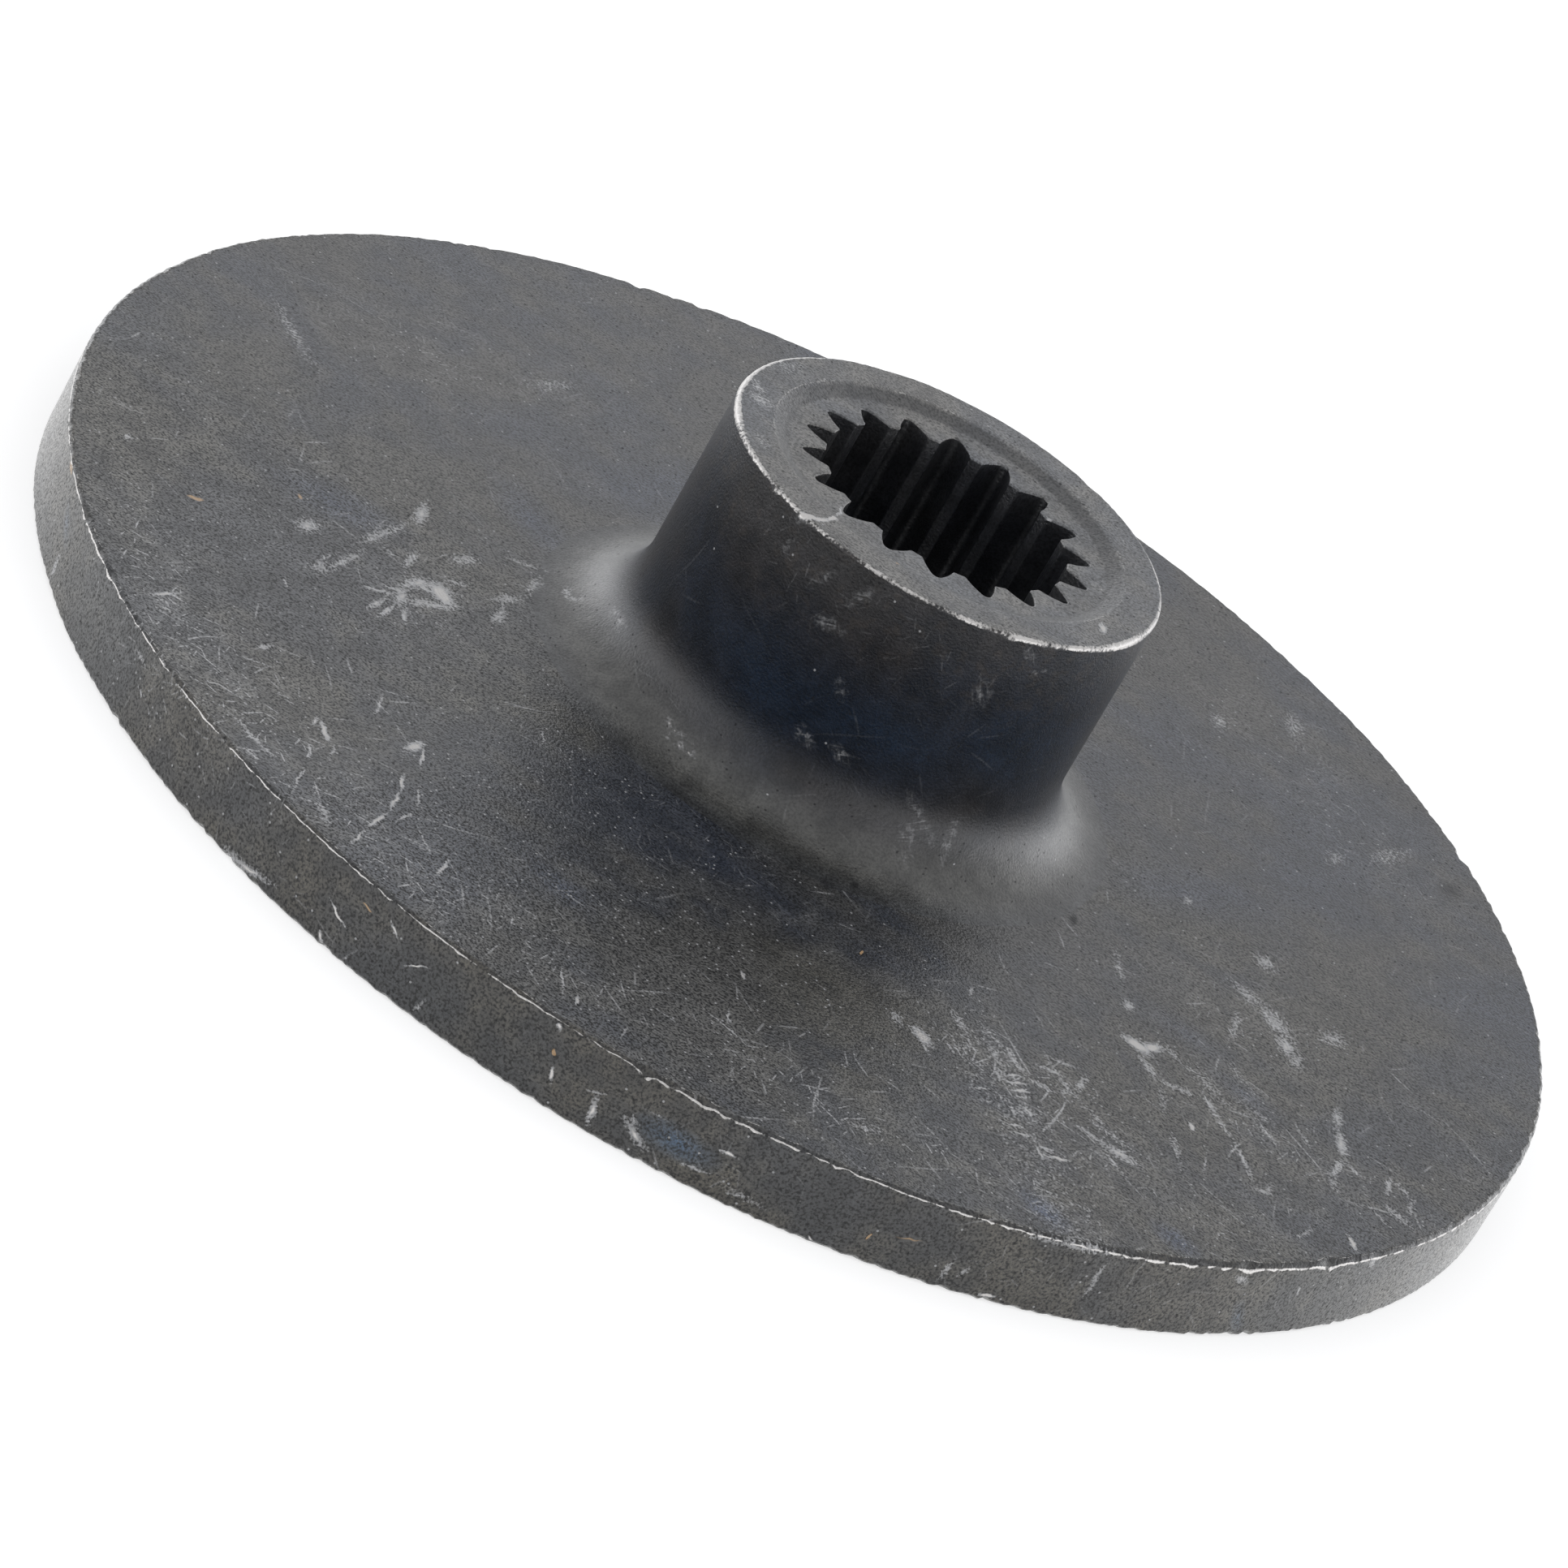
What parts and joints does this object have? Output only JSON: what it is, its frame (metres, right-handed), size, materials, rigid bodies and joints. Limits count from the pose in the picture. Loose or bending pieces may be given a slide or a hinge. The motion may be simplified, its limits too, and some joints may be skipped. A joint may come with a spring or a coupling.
{
  "type": "brake rotor",
  "caption": "Flat solid friction disc with a cylindrical hub on one side, a fillet between them and an internal involute spline right through.",
  "frame": {"origin": "centre of the spline at the disc's back face", "axes": "+Z along the spline's axis, from the disc's back face towards the hub's end; +X through the middle of a tooth space"},
  "size_m": [0.108, 0.108, 0.0242],
  "materials": {
    "rotor": "dark satin oxide on sintered iron, worn bright on the edges"
  },
  "bodies": {
    "root": {"brake_rotor": "rotor"}
  },
  "joints": []
}
